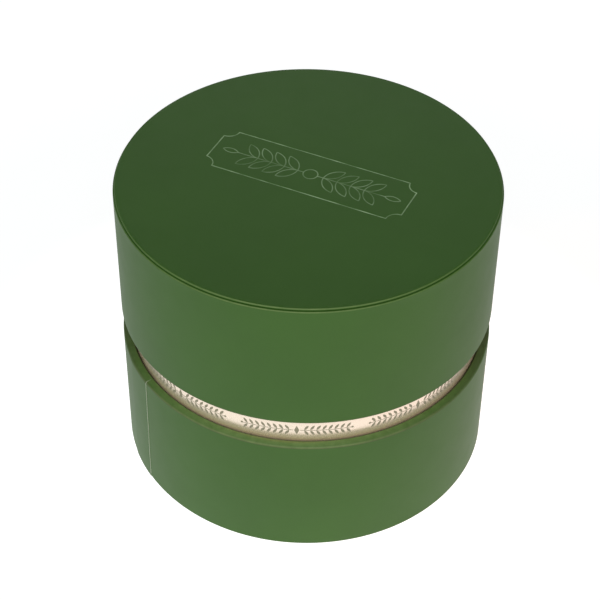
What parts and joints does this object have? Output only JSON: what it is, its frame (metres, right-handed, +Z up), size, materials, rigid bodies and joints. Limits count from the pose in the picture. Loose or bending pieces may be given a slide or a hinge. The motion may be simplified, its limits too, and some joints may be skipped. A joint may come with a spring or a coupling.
{
  "type": "round gift box",
  "caption": "Round rigid paperboard gift box: a lift-off lid slides down over a neck tube glued in the base, with a band of the neck left in sight.",
  "frame": {"origin": "centre of the foot, on the surface that the box stands on", "axes": "+Z up along the box's axis, -Y towards the side that the picture looks at, +X to that view's right"},
  "size_m": [0.12, 0.1201, 0.1014],
  "materials": {
    "green_wrap": "satin",
    "neck_wrap": "matte",
    "lining": "matte",
    "white_card": "matte",
    "greyboard": "matte"
  },
  "bodies": {
    "base": {"base_tube": "greyboard", "base_end_board": "greyboard", "base_wall_wrap": "green_wrap", "base_foot_paper": "green_wrap", "neck_tube": "greyboard", "neck_wrap": "neck_wrap", "base_lining": "lining", "base_floor_card": "lining"},
    "lid": {"lid_tube": "greyboard", "lid_end_board": "greyboard", "lid_wall_wrap": "green_wrap", "lid_top_card": "white_card", "lid_top_paper": "green_wrap", "lid_wall_lining": "lining", "lid_ceiling_lining": "lining"}
  },
  "joints": [
    {"name": "lid_lift", "type": "slide", "parent": "base", "child": "lid", "axis": [0, 0, 1], "range_m": [0, 0.11]}
  ]
}
